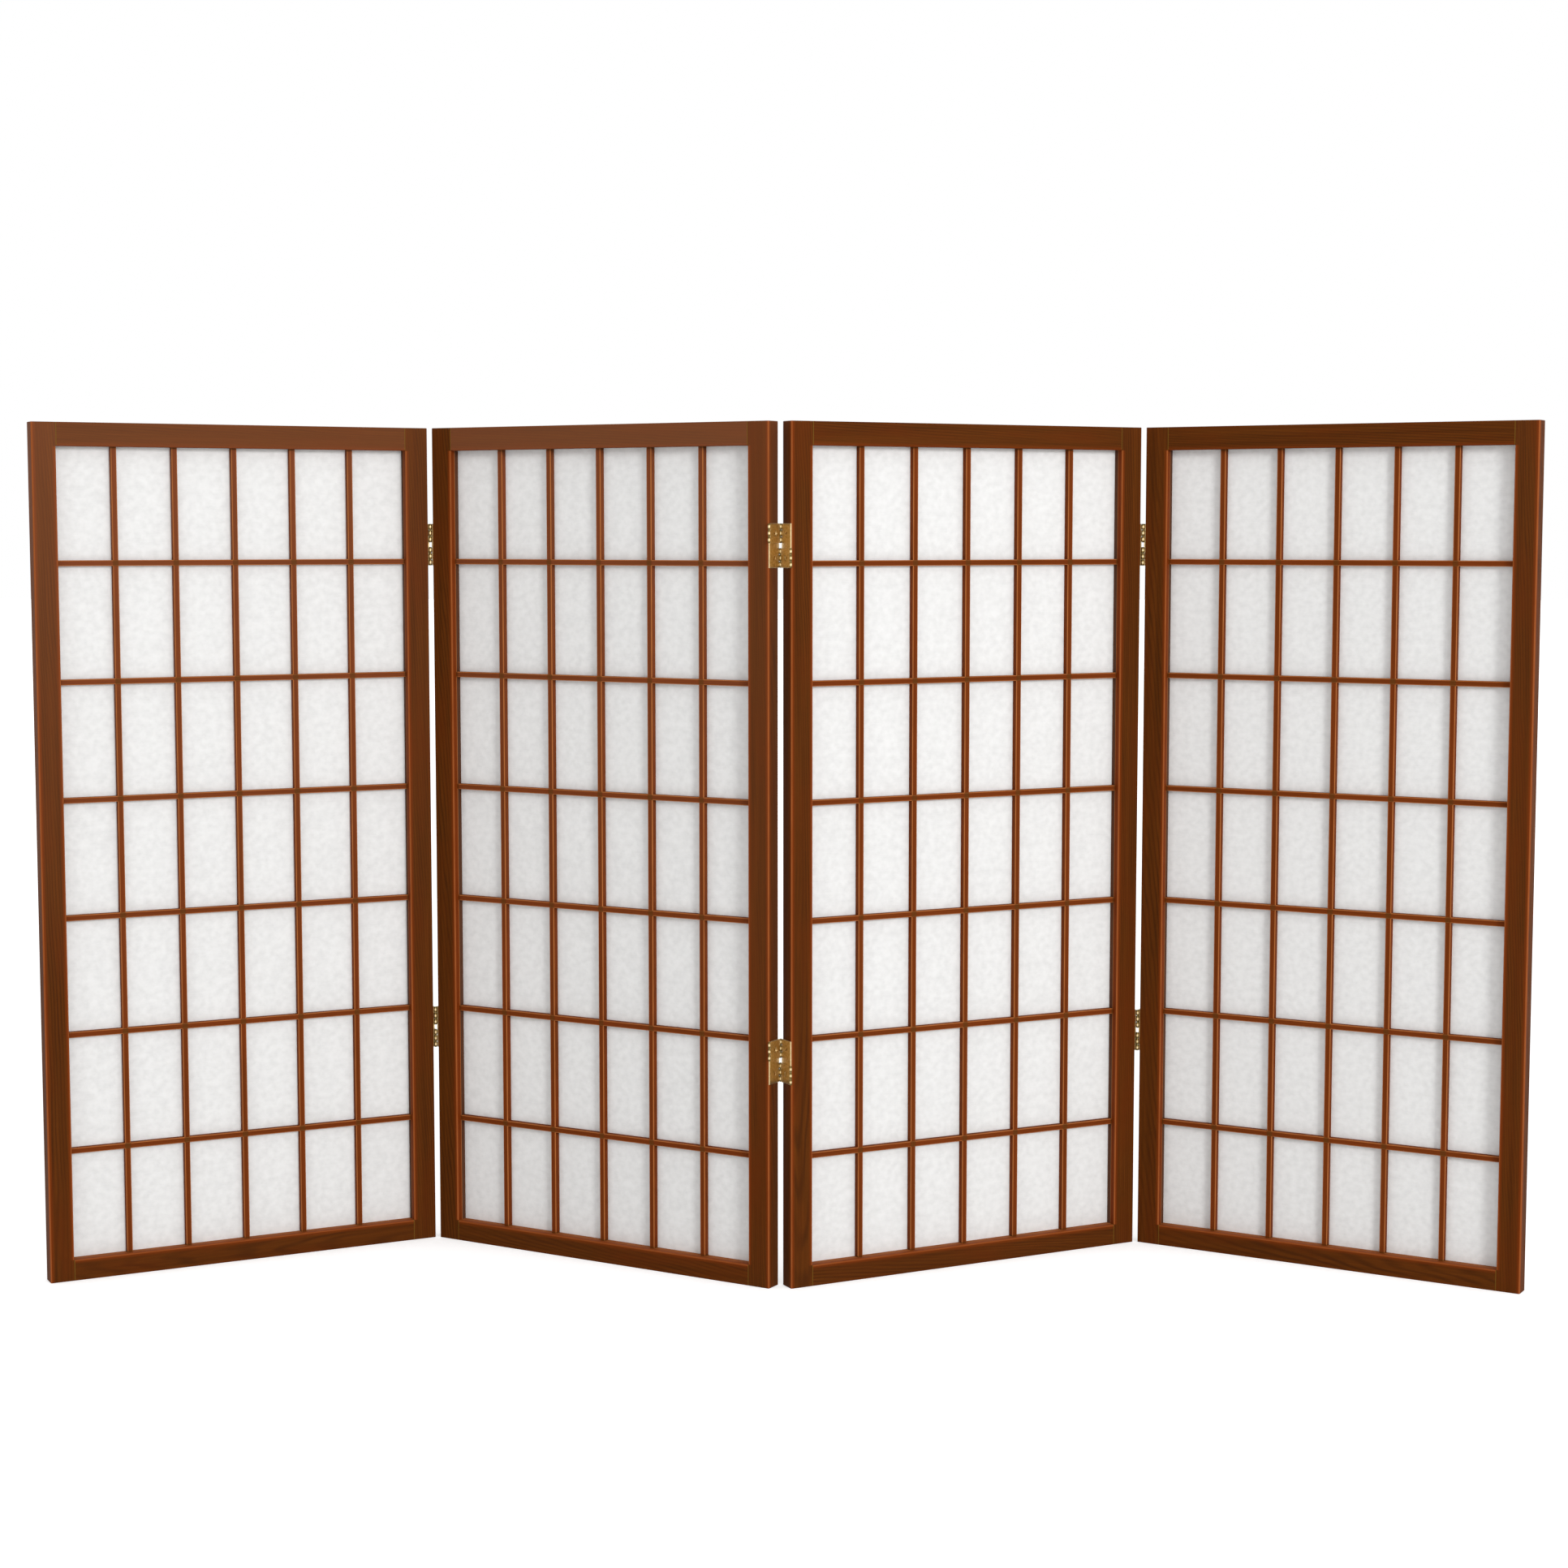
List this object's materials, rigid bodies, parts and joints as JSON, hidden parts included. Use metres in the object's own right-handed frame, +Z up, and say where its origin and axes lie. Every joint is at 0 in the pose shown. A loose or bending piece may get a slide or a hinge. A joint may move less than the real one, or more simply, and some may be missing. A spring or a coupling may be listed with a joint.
{
  "type": "shoji folding screen",
  "caption": "Free-standing folding screen of papered lattice panels in stained wood, joined by two-way brass hinges and set in a zigzag.",
  "frame": {"origin": "on the floor, in the middle of the zigzag's footprint", "axes": "+X along the screen to the viewer's right, -Y towards the viewer who sees the lattice, +Z up"},
  "size_m": [1.575, 0.2352, 0.914],
  "materials": {
    "frame_wood": "reddish brown stain under satin lacquer",
    "lattice_wood": "reddish brown stain under satin lacquer",
    "shoji_paper": "matt white fibre paper",
    "hinge_brass": "bright brass plate",
    "screw_brass": "bright brass plate"
  },
  "bodies": {
    "panel_3": {"hinge_23_lower_pins": "hinge_brass", "hinge_23_lower_swing_plates": "hinge_brass", "hinge_23_right_leaves": "hinge_brass", "hinge_23_right_screws": "screw_brass", "hinge_34_left_leaves": "hinge_brass", "hinge_34_left_screws": "screw_brass", "hinge_34_lower_pins": "hinge_brass", "hinge_34_lower_swing_plates": "hinge_brass", "panel_3_back_beads": "lattice_wood", "panel_3_bottom_rail": "frame_wood", "panel_3_horizontal_bars": "lattice_wood", "panel_3_lattice_border": "lattice_wood", "panel_3_left_stile": "frame_wood", "panel_3_paper": "shoji_paper", "panel_3_right_stile": "frame_wood", "panel_3_top_rail": "frame_wood", "panel_3_vertical_bars": "lattice_wood"},
    "panel_2": {"hinge_12_right_leaves": "hinge_brass", "hinge_12_right_screws": "screw_brass", "hinge_12_upper_pins": "hinge_brass", "hinge_12_upper_swing_plates": "hinge_brass", "hinge_23_left_leaves": "hinge_brass", "hinge_23_left_screws": "screw_brass", "hinge_23_upper_pins": "hinge_brass", "hinge_23_upper_swing_plates": "hinge_brass", "panel_2_back_beads": "lattice_wood", "panel_2_bottom_rail": "frame_wood", "panel_2_horizontal_bars": "lattice_wood", "panel_2_lattice_border": "lattice_wood", "panel_2_left_stile": "frame_wood", "panel_2_paper": "shoji_paper", "panel_2_right_stile": "frame_wood", "panel_2_top_rail": "frame_wood", "panel_2_vertical_bars": "lattice_wood"},
    "panel_1": {"hinge_12_left_leaves": "hinge_brass", "hinge_12_left_screws": "screw_brass", "hinge_12_lower_pins": "hinge_brass", "hinge_12_lower_swing_plates": "hinge_brass", "panel_1_back_beads": "lattice_wood", "panel_1_bottom_rail": "frame_wood", "panel_1_horizontal_bars": "lattice_wood", "panel_1_lattice_border": "lattice_wood", "panel_1_left_stile": "frame_wood", "panel_1_paper": "shoji_paper", "panel_1_right_stile": "frame_wood", "panel_1_top_rail": "frame_wood", "panel_1_vertical_bars": "lattice_wood"},
    "panel_4": {"hinge_34_right_leaves": "hinge_brass", "hinge_34_right_screws": "screw_brass", "hinge_34_upper_pins": "hinge_brass", "hinge_34_upper_swing_plates": "hinge_brass", "panel_4_back_beads": "lattice_wood", "panel_4_bottom_rail": "frame_wood", "panel_4_horizontal_bars": "lattice_wood", "panel_4_lattice_border": "lattice_wood", "panel_4_left_stile": "frame_wood", "panel_4_paper": "shoji_paper", "panel_4_right_stile": "frame_wood", "panel_4_top_rail": "frame_wood", "panel_4_vertical_bars": "lattice_wood"}
  },
  "joints": [
    {"name": "fold_23", "type": "hinge", "parent": "panel_3", "child": "panel_2", "pos_m": [0, -0.09585, 0.457], "axis": [0, 0, -1], "range_deg": [-57.8, 120.2]},
    {"name": "fold_12", "type": "hinge", "parent": "panel_2", "child": "panel_1", "pos_m": [-0.39528, 0.09585, 0.457], "axis": [0, 0, 1], "range_deg": [-57.8, 120.2]},
    {"name": "fold_34", "type": "hinge", "parent": "panel_3", "child": "panel_4", "pos_m": [0.39528, 0.09585, 0.457], "axis": [0, 0, -1], "range_deg": [-57.8, 120.2]}
  ]
}
